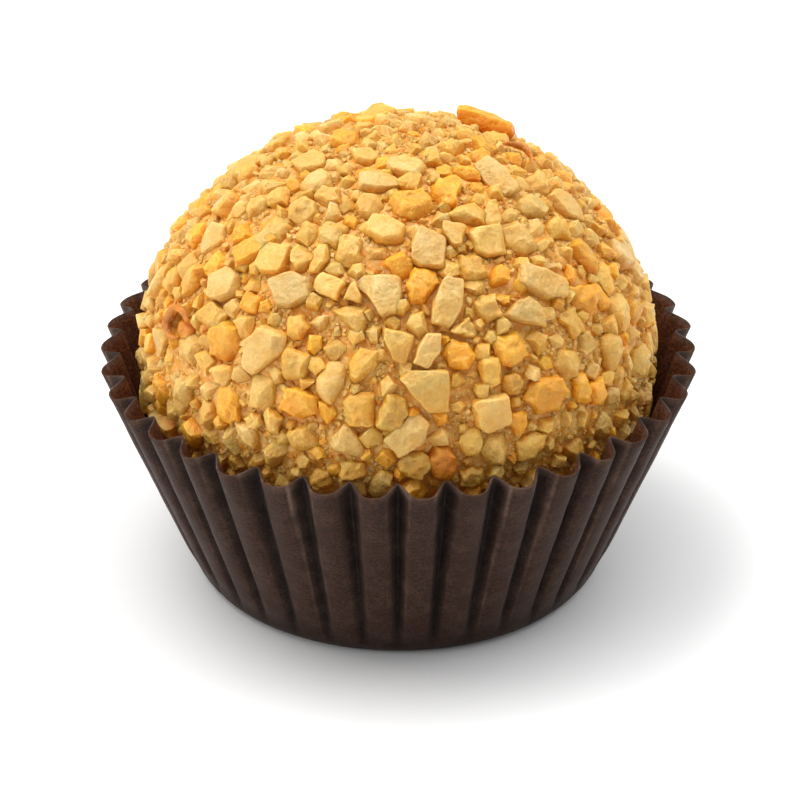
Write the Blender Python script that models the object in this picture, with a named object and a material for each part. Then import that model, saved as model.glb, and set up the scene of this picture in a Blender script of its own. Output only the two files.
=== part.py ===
"""A brigadeiro in its paper case.

A soft ball of cooked sweet, rolled in coarsely chopped nuts, sits in a small cup of dark
paper whose wall is folded into narrow flutes.

Metres, +Z up. The origin is the middle of the case's base, on the surface that it stands
on. A fold of the case, and not a ridge, faces -Y.
"""

import math

import bmesh
import bpy
import numpy as np

MM = 0.001
TINY = 1e-9
SEED = 38

# The case is a flat round of paper pressed into a cup. Its wall is as long everywhere as
# the ring of flat paper that it was, so the width that the cup doesn't need goes into the
# flutes, which deepen towards the rim.
FLUTES = 38
BASE_RADIUS = 13.4 * MM
WALL_LENGTH = 16.3 * MM
WALL_LEAN = math.radians(19.5)
CREASE_RADIUS = 1.2 * MM
CREASE_TURN = 0.5 * math.pi - WALL_LEAN
CREASE_TANGENT = CREASE_RADIUS * math.tan(0.5 * CREASE_TURN)
PAPER = 0.15 * MM
FLANK_SHARE = 0.46
FOLD_ANGLE = math.radians(54.0)
CREASE_STEPS = 2
WALL_STEPS = 4
ROW_SPREAD = 1.3
# One flute from fold to fold: share of the pitch, share of the flute's depth.
LOBE_EDGE = 0.94
FLUTE_SECTION = (
    (0.0, 0.0),
    (0.5 * FLANK_SHARE, LOBE_EDGE),
    (0.5, 1.0),
    (1.0 - 0.5 * FLANK_SHARE, LOBE_EDGE),
)
FOLD_WANDER = 0.05
SHALLOWEST = 0.86

# The ball is a spheroid that has sunk a little under its own weight. Its sizes are taken
# over the nuts.
BALL_RADIUS = 17.1 * MM
BALL_RISE = 15.6 * MM
BALL_SAG = 16.1 * MM
BALL_CENTRE = 15.2 * MM
CLEARANCE = 0.32 * MM

# The nuts lie edge to edge all over the ball, as chips with a flat top and sloping sides.
NUTS = 330
NUT_WANDER = 0.15
NUT_SHARE = (0.52, 0.74)
NUT_SINK = 0.35 * MM
NUT_TILT = 0.5 * MM
GROUND_DEPTH = 1.15 * MM
SKEW = (0.31, 0.87, 0.38)

NUT_COLOUR = (0.66, 0.36, 0.10)
PAPER_COLOUR = (0.040, 0.021, 0.014)


def clear_scene():
    """Remove whatever the file starts with."""
    for obj in list(bpy.data.objects):
        bpy.data.objects.remove(obj)


def make_material(name, colour, roughness):
    """A plain Principled material with this base colour and roughness."""
    material = bpy.data.materials.new(name)
    material.use_nodes = True
    shader = material.node_tree.nodes["Principled BSDF"]
    shader.inputs["Base Color"].default_value = (*colour, 1.0)
    shader.inputs["Roughness"].default_value = roughness
    shader.inputs["Metallic"].default_value = 0.0
    return material


def add_object(name, bm, material, sharp_angle):
    """Turn a bmesh into a named object, smooth but for edges sharper than the angle."""
    mesh = bpy.data.meshes.new(name)
    bm.to_mesh(mesh)
    bm.free()
    mesh.shade_smooth()
    mesh.set_sharp_from_angle(angle=sharp_angle)
    mesh.materials.append(material)
    obj = bpy.data.objects.new(name, mesh)
    bpy.context.scene.collection.objects.link(obj)
    return obj


def wall_line(slant):
    """Radius, height and outward normal of the wall's middle line.

    The slant is measured up the wall from the corner where its cone would meet the base.
    Nearer to that corner than the crease's tangent, the line follows the crease's arc.
    """
    facing = CREASE_TURN * np.clip(slant / CREASE_TANGENT, 0.0, 1.0) - 0.5 * math.pi
    beyond = np.maximum(slant - CREASE_TANGENT, 0.0)
    arc_radius = BASE_RADIUS - CREASE_TANGENT
    arc_height = 0.5 * PAPER + CREASE_RADIUS
    radius = arc_radius + CREASE_RADIUS * np.cos(facing) + beyond * math.sin(WALL_LEAN)
    height = arc_height + CREASE_RADIUS * np.sin(facing) + beyond * math.cos(WALL_LEAN)
    return radius, height, np.cos(facing), np.sin(facing)


def flute_depth(slant):
    """Depth of the flutes, fold to ridge, that takes up all the spare paper.

    At a slant s the flat paper is 2 pi (base + s) round and the cup 2 pi (base + s sin lean).
    The paper crosses each flank of a flute on a slope that makes up the difference.
    """
    cup_radius = BASE_RADIUS + slant * math.sin(WALL_LEAN)
    spare = slant * (1.0 - math.sin(WALL_LEAN)) / cup_radius
    slope = np.sqrt((1.0 + spare / FLANK_SHARE) ** 2 - 1.0)
    pitch = 2.0 * math.pi * cup_radius / FLUTES
    return 0.5 * FLANK_SHARE * pitch * slope


def wall_rows():
    """Slants of the wall's rows of points: even in the crease, then wider up the wall."""
    in_crease = CREASE_TANGENT * np.arange(CREASE_STEPS) / CREASE_STEPS
    up_wall = (np.arange(WALL_STEPS + 1) / WALL_STEPS) ** ROW_SPREAD
    return np.concatenate([in_crease, CREASE_TANGENT + (WALL_LENGTH - CREASE_TANGENT) * up_wall])


def wall_columns(rng):
    """Bearing and share of the depth of each column of points, from one fold to the next.

    The folds wander a little about an even spacing, and no two are quite as deep.
    """
    wander = rng.uniform(-FOLD_WANDER, FOLD_WANDER, FLUTES)
    folds = np.arange(FLUTES) + wander
    widths = np.roll(folds, -1) - folds
    widths[-1] += FLUTES
    fold_rise = 1.0 - rng.uniform(SHALLOWEST, 1.0, FLUTES)
    across = np.array([share for share, _ in FLUTE_SECTION])
    depth = np.array([share for _, share in FLUTE_SECTION])
    turns = (folds[:, None] + widths[:, None] * across) / FLUTES
    shares = np.tile(depth, (FLUTES, 1))
    shares[:, 0] = fold_rise
    return 2.0 * math.pi * turns.ravel() - 0.5 * math.pi, shares.ravel()


def make_paper_case():
    """The fluted cup: one sheet with a flat base, given the paper's thickness."""
    slants = wall_rows()
    bearings, shares = wall_columns(np.random.default_rng(SEED))
    radius, height, normal_out, normal_up = wall_line(slants)
    offset = flute_depth(slants)[:, None] * (shares - 0.5)
    reach = radius[:, None] + normal_out[:, None] * offset
    points = np.stack(
        [
            reach * np.cos(bearings),
            reach * np.sin(bearings),
            height[:, None] + normal_up[:, None] * offset,
        ],
        axis=-1,
    )
    bm = bmesh.new()
    rows = [[bm.verts.new(point) for point in row] for row in points]
    middle = bm.verts.new((0.0, 0.0, 0.5 * PAPER))
    around = len(bearings)
    for column in range(around):
        beside = (column + 1) % around
        bm.faces.new((middle, rows[0][beside], rows[0][column]))
        for below, above in zip(rows, rows[1:]):
            bm.faces.new((below[column], below[beside], above[beside], above[column]))
    bmesh.ops.recalc_face_normals(bm, faces=bm.faces)
    paper = make_material("paper", PAPER_COLOUR, 0.5)
    case = add_object("paper_case", bm, paper, math.radians(35.0))
    thickness = case.modifiers.new("paper thickness", "SOLIDIFY")
    thickness.thickness = PAPER
    thickness.offset = 0.0
    thickness.use_even_offset = True
    return case


def room_in_case(height):
    """Radius that the folds of the case leave free at a height, less the clearance."""
    slants = np.linspace(0.0, WALL_LENGTH, 200)
    radius, level, normal_out, normal_up = wall_line(slants)
    half_depth = 0.5 * flute_depth(slants)
    fold_radius = radius - normal_out * half_depth
    fold_level = level - normal_up * half_depth
    free = fold_radius - 0.5 * PAPER / math.sin(0.5 * FOLD_ANGLE) - CLEARANCE
    return np.interp(height, fold_level, free, right=2.0 * BALL_RADIUS)


def even_directions(count):
    """Unit vectors spread evenly over a sphere, on a spiral of golden-angle turns."""
    steps = np.arange(count) + 0.5
    up = 1.0 - 2.0 * steps / count
    bearing = steps * math.pi * (3.0 - math.sqrt(5.0))
    level = np.sqrt(1.0 - up**2)
    return np.stack([level * np.cos(bearing), level * np.sin(bearing), up], axis=-1)


def unit(vectors):
    """The vectors at length one."""
    return vectors / np.linalg.norm(vectors, axis=-1, keepdims=True)


def cells_round(middles):
    """Divide the sphere among the middles, each cell reaching halfway to the next ones.

    Returns the cells' shared corners as unit vectors, and for each middle the indices of
    its own corners, counter-clockwise seen from outside.
    """
    bm = bmesh.new()
    for middle in middles:
        bm.verts.new(middle)
    bmesh.ops.convex_hull(bm, input=bm.verts)
    bm.verts.ensure_lookup_table()
    bm.faces.index_update()
    corners = unit(np.array([face.calc_center_median() for face in bm.faces]))
    sideways, forward = tangents_at(middles)
    cells = []
    for number, vert in enumerate(bm.verts):
        around = np.array([face.index for face in vert.link_faces])
        bearing = np.arctan2(corners[around] @ forward[number], corners[around] @ sideways[number])
        cells.append(around[np.argsort(bearing)])
    bm.free()
    return corners, cells


def tangents_at(directions):
    """Two unit vectors square to each direction and to each other."""
    sideways = unit(np.cross(directions, SKEW))
    return sideways, np.cross(directions, sideways)


def ball_skin(directions, depths):
    """Points of the ball about its centre, this deep under its outline.

    The outline is a spheroid, fuller below its centre than above. It is flat where it
    stands and held in where the folds of the case would press on it.
    """
    vertical = np.where(directions[:, 2] > 0.0, BALL_RISE, BALL_SAG)
    scale = np.hypot(
        np.hypot(directions[:, 0], directions[:, 1]) / BALL_RADIUS, directions[:, 2] / vertical
    )
    distance = 1.0 / scale - depths
    drop_to_foot = BALL_CENTRE - PAPER - CLEARANCE
    distance = np.minimum(distance, drop_to_foot / np.maximum(-directions[:, 2], TINY))
    points = directions * distance[:, None]
    across = np.hypot(points[:, 0], points[:, 1])
    held = room_in_case(points[:, 2] + BALL_CENTRE) / np.maximum(across, TINY)
    points[:, :2] *= np.minimum(held, 1.0)[:, None]
    return points


def make_ball():
    """The ball with its coat of chopped nuts, as one nubbly solid.

    Each cell is one nut: a top face, shrunk about the cell's middle and tilted its own
    way, with sides that run down to the low ground that it shares with its neighbours.
    """
    rng = np.random.default_rng(SEED + 1)
    spacing = math.sqrt(4.0 * math.pi / NUTS)
    middles = unit(even_directions(NUTS) + rng.normal(0.0, NUT_WANDER * spacing, (NUTS, 3)))
    corners, cells = cells_round(middles)
    ground = ball_skin(corners, GROUND_DEPTH * rng.uniform(0.8, 1.2, len(corners)))
    bm = bmesh.new()
    low = [bm.verts.new(point) for point in ground]
    for middle, cell in zip(middles, cells):
        edge = corners[cell]
        tilt = rng.normal(0.0, NUT_TILT, 3)
        depth = NUT_SINK * rng.uniform(0.0, 1.0) + np.abs((edge - middle) @ tilt) / spacing
        shrunk = unit(middle + rng.uniform(*NUT_SHARE) * (edge - middle))
        top = [bm.verts.new(point) for point in ball_skin(shrunk, depth)]
        bm.faces.new(top)
        foot = [low[index] for index in cell]
        for here, there in zip(range(len(cell)), np.roll(range(len(cell)), -1)):
            bm.faces.new((foot[here], foot[there], top[there], top[here]))
    bmesh.ops.recalc_face_normals(bm, faces=bm.faces)
    nuts = make_material("nuts", NUT_COLOUR, 0.55)
    ball = add_object("nut_coated_ball", bm, nuts, math.radians(20.0))
    ball.location = (0.0, 0.0, BALL_CENTRE)
    return ball


def main():
    """Build the ball and its case in an empty scene."""
    clear_scene()
    make_paper_case()
    make_ball()


main()
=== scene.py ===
"""Looks of a brigadeiro in its paper case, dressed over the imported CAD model.

A ball of cooked sweet shows between the chopped nuts that it was rolled in, and stands in
a fluted case of dark paper. Lengths are in metres in the CAD model's frame, +Z up.
Bearings turn round +Z from -Y, the side seen first, towards +X.
"""

import logging
import math
from dataclasses import dataclass, field
from enum import Enum
from functools import partial

import bpy
import numpy as np
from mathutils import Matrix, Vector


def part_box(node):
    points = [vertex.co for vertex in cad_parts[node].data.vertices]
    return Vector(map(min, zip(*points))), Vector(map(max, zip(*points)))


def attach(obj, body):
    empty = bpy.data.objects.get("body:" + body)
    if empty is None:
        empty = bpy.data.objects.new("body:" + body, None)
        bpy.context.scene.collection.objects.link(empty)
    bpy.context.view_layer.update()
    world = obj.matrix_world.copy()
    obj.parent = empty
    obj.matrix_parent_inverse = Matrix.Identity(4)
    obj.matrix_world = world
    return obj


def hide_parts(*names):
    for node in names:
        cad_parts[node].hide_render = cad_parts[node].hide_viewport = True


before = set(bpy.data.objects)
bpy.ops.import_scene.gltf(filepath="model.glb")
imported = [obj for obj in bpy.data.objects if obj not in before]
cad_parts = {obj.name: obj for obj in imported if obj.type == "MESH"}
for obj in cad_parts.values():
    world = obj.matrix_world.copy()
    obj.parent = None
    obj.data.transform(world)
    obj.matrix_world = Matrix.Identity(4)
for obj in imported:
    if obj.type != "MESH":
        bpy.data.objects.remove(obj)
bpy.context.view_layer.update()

Array = np.ndarray
Colour = tuple[float, float, float]
Span = tuple[float, float]
Piece = bpy.types.Object
Socket = bpy.types.NodeSocket
Random = np.random.Generator

MM = 0.001
TINY = 1e-9
BALL_NODE = "nut_coated_ball"
CASE_NODE = "paper_case"

log = logging.getLogger("brigadeiro")


# --- Small tools ------------------------------------------------------------------------


def linear(red: int, green: int, blue: int) -> Colour:
    """A screen colour of 0 to 255 a channel as linear light, by the sRGB curve.

    Args:
        red: Red of the screen colour.
        green: Green of the screen colour.
        blue: Blue of the screen colour.

    Returns:
        The three channels as linear light from 0 to 1.
    """
    channels = []
    for value in (red / 255, green / 255, blue / 255):
        low = value / 12.92
        channels.append(low if value <= 0.04045 else ((value + 0.055) / 1.055) ** 2.4)
    return channels[0], channels[1], channels[2]


def unit(vectors: Array) -> Array:
    """Vectors along the last axis, scaled to length one."""
    return vectors / np.maximum(np.linalg.norm(vectors, axis=-1, keepdims=True), TINY)


def tangents(directions: Array) -> tuple[Array, Array]:
    """Two unit vectors square to each direction and to each other.

    The first is the cross product of +Z, leant a little so that it suits every direction,
    with the direction. The second is the cross product of the direction with the first.

    Args:
        directions: Unit vectors, one a row.

    Returns:
        The sideways and the forward vectors.
    """
    sideways = unit(np.cross((0.012, 0.017, 1.0), directions))
    return sideways, np.cross(directions, sideways)


def toward(bearing: Array | float, rise: Array | float) -> Array:
    """Unit vectors at these bearings and rises, in degrees."""
    bearing, rise = np.radians(bearing), np.radians(rise)
    level = np.cos(rise)
    return np.stack([level * np.sin(bearing), -level * np.cos(bearing), np.sin(rise)], axis=-1)


def lattice_noise(points: Array, cell: float, seed: int) -> Array:
    """Smooth noise of about -1 to 1 that varies over one cell of space.

    Each corner of the cubic lattice holds a number scrambled from its whole coordinates.
    A point takes the mix of its cell's eight corners, weighted by 3t^2 - 2t^3 an axis.

    Args:
        points: Points, with x, y and z on the last axis.
        cell: Side of the lattice's cells.
        seed: Picks the pattern.

    Returns:
        One number a point.
    """
    place = points / cell
    corner = np.floor(place).astype(np.int64)
    part = place - corner
    part = part * part * (3.0 - 2.0 * part)
    total = np.zeros(points.shape[:-1])
    for dx, dy, dz in np.ndindex(2, 2, 2):
        x, y, z = (corner[..., axis] + step for axis, step in enumerate((dx, dy, dz)))
        mixed = (x * 73856093) ^ (y * 19349663) ^ (z * 83492791) ^ (seed * 2654435761)
        mixed = (mixed ^ (mixed >> 13)) * 1274126177
        value = ((mixed ^ (mixed >> 16)) & 0xFFFF) / 32767.5 - 1.0
        weight = np.ones_like(total)
        for axis, step in enumerate((dx, dy, dz)):
            weight = weight * (part[..., axis] if step else 1.0 - part[..., axis])
        total += weight * value
    return total


def mesh_piece(name: str, points: Array, faces: list[Array], sharp: float | None = None) -> Piece:
    """An object at the origin from whole arrays of points and faces.

    Args:
        name: Name of the piece and of its mesh.
        points: One point a row.
        faces: Arrays of point indices, each with one face a row and one face size.
        sharp: Angle between faces from which an edge shows, or None for none.

    Returns:
        The new object, linked to the scene and shaded smooth.
    """
    mesh = bpy.data.meshes.new(name)
    sizes = np.concatenate([np.full(len(group), group.shape[1]) for group in faces])
    corners = np.concatenate([group.ravel() for group in faces]).astype(np.int32)
    mesh.vertices.add(len(points))
    mesh.vertices.foreach_set("co", np.ascontiguousarray(points, np.float32).ravel())
    mesh.loops.add(len(corners))
    mesh.loops.foreach_set("vertex_index", corners)
    mesh.polygons.add(len(sizes))
    starts = np.concatenate([[0], np.cumsum(sizes)[:-1]]).astype(np.int32)
    mesh.polygons.foreach_set("loop_start", starts)
    mesh.update(calc_edges=True)
    mesh.shade_smooth()
    if sharp is not None:
        mesh.set_sharp_from_angle(angle=sharp)
    piece = bpy.data.objects.new(name, mesh)
    bpy.context.scene.collection.objects.link(piece)
    return piece


def strips(below: Array, above: Array) -> Array:
    """Quads between rings of point numbers and the rings after them."""
    corners = [below, np.roll(below, -1, axis=-1), np.roll(above, -1, axis=-1), above]
    return np.stack(corners, axis=-1).reshape(-1, 4)


def fan(tip: int, ring: Array, upward: bool) -> Array:
    """Triangles that close a ring of point numbers with one more point, facing up or down."""
    onward = np.roll(ring, -1)
    sides = [ring, onward] if upward else [onward, ring]
    return np.stack([np.full(len(ring), tip), *sides], axis=-1)


def closed_faces(rows: int, columns: int, copies: int = 1) -> list[Array]:
    """Faces of closed forms, each of rings from the lowest up and then its two end points.

    Args:
        rows: Rings to a form.
        columns: Points to a ring.
        copies: How many such forms follow one another in the points.

    Returns:
        The quads between rings, the fans below and the fans above.
    """
    index = np.arange(rows * columns).reshape(rows, columns)
    low, high = index.size, index.size + 1
    groups = (strips(index[:-1], index[1:]), fan(low, index[0], False), fan(high, index[-1], True))
    shift = (np.arange(copies) * (index.size + 2))[:, None, None]
    return [(group[None] + shift).reshape(-1, group.shape[1]) for group in groups]


def paint(piece: Piece, name: str, colours: Array) -> None:
    """Store one linear colour a point as a named attribute."""
    layer = piece.data.color_attributes.new(name, "FLOAT_COLOR", "POINT")
    full = np.ones((len(colours), 4), np.float32)
    full[:, :3] = colours
    layer.data.foreach_set("color", full.ravel())


def weigh(piece: Piece, name: str, values: Array) -> None:
    """Store one number a point as a named attribute."""
    layer = piece.data.attributes.new(name, "FLOAT", "POINT")
    layer.data.foreach_set("value", np.ascontiguousarray(values, np.float32))


# --- Finishes ---------------------------------------------------------------------------


class Shader:
    """A new material's nodes: one Principled shader and what is joined to it."""

    def __init__(self, name: str) -> None:
        """Start a material of this name with a Principled shader."""
        self.material = bpy.data.materials.new(name)
        self.material.use_nodes = True
        self.tree = self.material.node_tree
        self.principled = self.tree.nodes["Principled BSDF"]

    def node(self, kind: str, inputs: dict[str | int, object], **settings: object) -> bpy.types.Node:
        """Add a node.

        Args:
            kind: Blender's name for the kind of node.
            inputs: For each named or numbered input, a constant or the socket to join.
            settings: The node's own properties.

        Returns:
            The new node.
        """
        made = self.tree.nodes.new(kind)
        for key, value in settings.items():
            setattr(made, key, value)
        for key, value in inputs.items():
            self.feed(made.inputs[key], value)
        return made

    def feed(self, socket: Socket, value: object) -> None:
        """Join a socket to this input, or set its constant, a colour with a full alpha."""
        if isinstance(value, Socket):
            self.tree.links.new(value, socket)
        elif socket.type == "RGBA":
            socket.default_value = (*value, 1.0)
        else:
            socket.default_value = value

    def dress(self, **inputs: object) -> bpy.types.Material:
        """Feed the Principled shader, with words joined by _ for its inputs' names."""
        for key, value in inputs.items():
            self.feed(self.principled.inputs[key.replace("_", " ")], value)
        return self.material

    def noise(self, place: Socket, grain: float, detail: float = 3.0, roughness: float = 0.55) -> Socket:
        """Noise of 0 to 1 whose features are about one grain across."""
        made = self.node(
            "ShaderNodeTexNoise",
            {"Vector": place, "Scale": 1.0 / grain, "Detail": detail, "Roughness": roughness},
        )
        return made.outputs["Fac"]

    def grains(self, place: Socket, grain: float) -> tuple[Socket, Socket]:
        """Cells of about this size: the way to the cell's middle, and the cell's own number."""
        made = self.node("ShaderNodeTexVoronoi", {"Vector": place, "Scale": 1.0 / grain})
        return made.outputs["Distance"], made.outputs["Color"]

    def ramp(
        self, value: Socket, low: float, high: float, bottom: float = 0.0, top: float = 1.0
    ) -> Socket:
        """Map the stretch from low to high onto bottom to top, and hold it outside."""
        made = self.node(
            "ShaderNodeMapRange", {0: value, 1: low, 2: high, 3: bottom, 4: top}, clamp=True
        )
        return made.outputs[0]

    def mix(self, share: object, first: object, second: object, blend: str = "MIX") -> Socket:
        """Blend two colours by a share."""
        made = self.node("ShaderNodeMix", {}, data_type="RGBA", blend_type=blend)
        for index, value in ((0, share), (6, first), (7, second)):
            self.feed(made.inputs[index], value)
        return made.outputs[2]

    def bump(self, height: Socket, depth: float, strength: float, below: object = None) -> Socket:
        """A bumped normal of this depth, laid over another normal if one is given."""
        inputs: dict[str | int, object] = {"Height": height, "Distance": depth, "Strength": strength}
        if below is not None:
            inputs["Normal"] = below
        return self.node("ShaderNodeBump", inputs).outputs["Normal"]

    def place(self) -> Socket:
        """Coordinates of the shaded point in the piece's own space."""
        return self.node("ShaderNodeTexCoord", {}).outputs["Object"]

    def attribute(self, name: str, output: str) -> Socket:
        """A stored attribute's colour or number."""
        return self.node("ShaderNodeAttribute", {}, attribute_name=name).outputs[output]


@dataclass(frozen=True)
class NutFinish:
    """Cut nut: waxy, faintly see-through, each piece of its own tone with a fine mottle."""

    name: str
    roughness: float = 0.40
    glow: float = 0.8
    glow_depth: float = 0.55 * MM
    grain_depth: float = 0.04 * MM
    lump_depth: float = 0.28 * MM

    def material(self) -> bpy.types.Material:
        """Build the material. It reads each point's tone from the attribute tone."""
        shader = Shader(self.name)
        place = shader.place()
        tone = shader.attribute("tone", "Color")
        broad = shader.ramp(shader.noise(place, 1.3 * MM), 0.38, 0.62)
        fine = shader.ramp(shader.noise(place, 0.22 * MM, 4.0), 0.3, 0.7)
        warmer = shader.mix(1.0, tone, (0.97, 0.84, 0.62), "MULTIPLY")
        colour = shader.mix(broad, warmer, tone)
        speckled = shader.mix(0.10, colour, fine, "OVERLAY")
        lumps = shader.bump(shader.noise(place, 0.48 * MM, 3.0), self.lump_depth, 0.9)
        grain = shader.noise(place, 0.16 * MM, 4.0, 0.6)
        normal = shader.bump(grain, self.grain_depth, 0.55, lumps)
        gloss = shader.ramp(broad, 0.0, 1.0, self.roughness + 0.08, self.roughness - 0.06)
        return shader.dress(
            Base_Color=speckled,
            Roughness=gloss,
            Normal=normal,
            IOR=1.46,
            Subsurface_Weight=self.glow,
            Subsurface_Radius=(1.0, 0.92, 0.80),
            Subsurface_Scale=self.glow_depth,
        )


@dataclass(frozen=True)
class SweetFinish:
    """The sticky sweet between the nuts: tan grains with painted shade between them, a painted orange
    glow beside the nuts as if light came through them, a little wet.
    """

    name: str
    tan: Colour
    pale: Colour
    roast_and_grain_shade: Colour
    painted_glow: Colour

    def material(self) -> bpy.types.Material:
        """Build the material from grains in the piece's own space. It reads the attribute beside."""
        shader = Shader(self.name)
        place = shader.place()
        away, number = shader.grains(place, 0.30 * MM)
        patches = shader.ramp(shader.noise(place, 3.2 * MM, 3.0), 0.48, 0.62)
        roasted = shader.mix(patches, self.tan, self.roast_and_grain_shade)
        # Painted light: a deep orange glow painted into the sweet beside the nuts, as if light came
        # through them.
        beside = shader.ramp(shader.attribute("beside", "Fac"), 0.1, 0.9, 0.0, 0.6)
        glowing = shader.mix(beside, roasted, self.painted_glow)
        grained = shader.mix(shader.ramp(number, 0.40, 0.70, 0.0, 0.7), glowing, self.pale)
        # Painted shade between the grains, in the colour of the roasted patches.
        between = shader.ramp(away, 0.30, 0.70, 0.0, 0.45)
        colour = shader.mix(between, grained, self.roast_and_grain_shade)
        lumps = shader.bump(shader.noise(place, 0.5 * MM, 3.0), 0.16 * MM, 0.6)
        normal = shader.bump(shader.ramp(away, 0.0, 0.8, 1.0, 0.0), 0.10 * MM, 0.6, lumps)
        wet = shader.ramp(shader.noise(place, 0.8 * MM, 2.0), 0.4, 0.65, 0.30, 0.50)
        return shader.dress(
            Base_Color=colour,
            Roughness=wet,
            Normal=normal,
            IOR=1.45,
            Subsurface_Weight=0.2,
            Subsurface_Radius=(1.0, 0.85, 0.7),
            Subsurface_Scale=0.2 * MM,
        )


@dataclass(frozen=True)
class PaperFinish:
    """Dark greaseproof paper: fibrous, greyer outside, with painted shade in its folds, lighter and
    redder on its inner face with painted light through the paper, pale on its creases from wear and a
    painted sheen.
    """

    name: str
    outside: Colour
    inside_lit_through: Colour
    fold_shade: Colour
    wear_and_sheen: Colour

    def material(self) -> bpy.types.Material:
        """Build the material. It reads the attributes outer, fold and crease."""
        shader = Shader(self.name)
        place = shader.place()
        fibres = shader.ramp(shader.noise(place, 0.18 * MM, 3.0, 0.65), 0.42, 0.62)
        clouds = shader.ramp(shader.noise(place, 1.4 * MM, 3.0), 0.42, 0.66)
        outer = shader.attribute("outer", "Fac")
        crease = shader.attribute("crease", "Fac")
        # The inner face's colour holds painted light that comes through the paper.
        plain = shader.mix(outer, self.inside_lit_through, self.outside)
        # Painted shade, darkest in the folds of the outer face.
        fold = shader.ramp(shader.attribute("fold", "Fac"), 0.15, 0.8, 0.0, 0.9)
        fold_shaded = shader.mix(fold, plain, self.fold_shade)
        clouded = shader.mix(shader.ramp(clouds, 0.0, 1.0, 0.0, 0.04), fold_shaded, self.wear_and_sheen)
        fibred = shader.mix(1.0, clouded, shader.ramp(fibres, 0.0, 1.0, 0.62, 1.50), "MULTIPLY")
        # Pale creases on the lobes' corners and the rim's edge: wear, with a painted sheen there.
        rubbed_and_sheen = shader.mix(1.0, crease, shader.ramp(clouds, 0.0, 1.0, 0.35, 1.0), "MULTIPLY")
        colour = shader.mix(shader.ramp(rubbed_and_sheen, 0.0, 1.0, 0.0, 0.7), fibred, self.wear_and_sheen)
        low = shader.bump(clouds, 0.10 * MM, 0.3)
        normal = shader.bump(fibres, 0.02 * MM, 0.5, low)
        return shader.dress(
            Base_Color=colour,
            Roughness=shader.ramp(fibres, 0.0, 1.0, 0.44, 0.60),
            Normal=normal,
            IOR=1.45,
            Specular_IOR_Level=0.10,
            Sheen_Weight=0.02,
            Sheen_Roughness=0.45,
        )


@dataclass(frozen=True)
class FloorFinish:
    """Plain pale studio floor with the faintest unevenness."""

    name: str
    colour: Colour

    def material(self) -> bpy.types.Material:
        """Build the material."""
        shader = Shader(self.name)
        cloud = shader.ramp(shader.noise(shader.place(), 60 * MM, 2.0), 0.3, 0.7, 0.97, 1.0)
        colour = shader.mix(1.0, self.colour, cloud, "MULTIPLY")
        return shader.dress(Base_Color=colour, Roughness=0.8)


# --- Forms ------------------------------------------------------------------------------


@dataclass(frozen=True)
class BallForm:
    """Outline of the ball over its nuts: a spheroid, fuller below, flat where it stands."""

    rise: float
    foot: float
    radius: float = 17.0 * MM
    sag: float = 16.1 * MM
    centre: float = 15.2 * MM

    def distance(self, directions: Array) -> Array:
        """How far the outline is from the centre along unit vectors.

        It is 1 / sqrt((horizontal / radius)^2 + (vertical / rise or sag)^2), cut off at
        the level of the foot.

        Args:
            directions: Unit vectors on the last axis.

        Returns:
            One length a direction.
        """
        vertical = np.where(directions[..., 2] > 0.0, self.rise, self.sag)
        level = np.hypot(directions[..., 0], directions[..., 1]) / self.radius
        reach = 1.0 / np.hypot(level, directions[..., 2] / vertical)
        drop = (self.centre - self.foot) / np.maximum(-directions[..., 2], TINY)
        return np.minimum(reach, drop)

    def points(self, directions: Array, sunk: Array | float) -> Array:
        """Points this deep under the outline, along unit vectors from the centre."""
        reach = self.distance(directions) - sunk
        return directions * reach[..., None] + np.array((0.0, 0.0, self.centre))

    def outward(self, directions: Array) -> Array:
        """Unit normals of the spheroid: the direction with each axis over its square."""
        vertical = np.where(directions[..., 2] > 0.0, self.rise, self.sag)
        reach = self.distance(directions)[..., None]
        level = np.full_like(vertical, self.radius)
        return unit(directions * reach / np.stack([level, level, vertical], axis=-1) ** 2)


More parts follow.
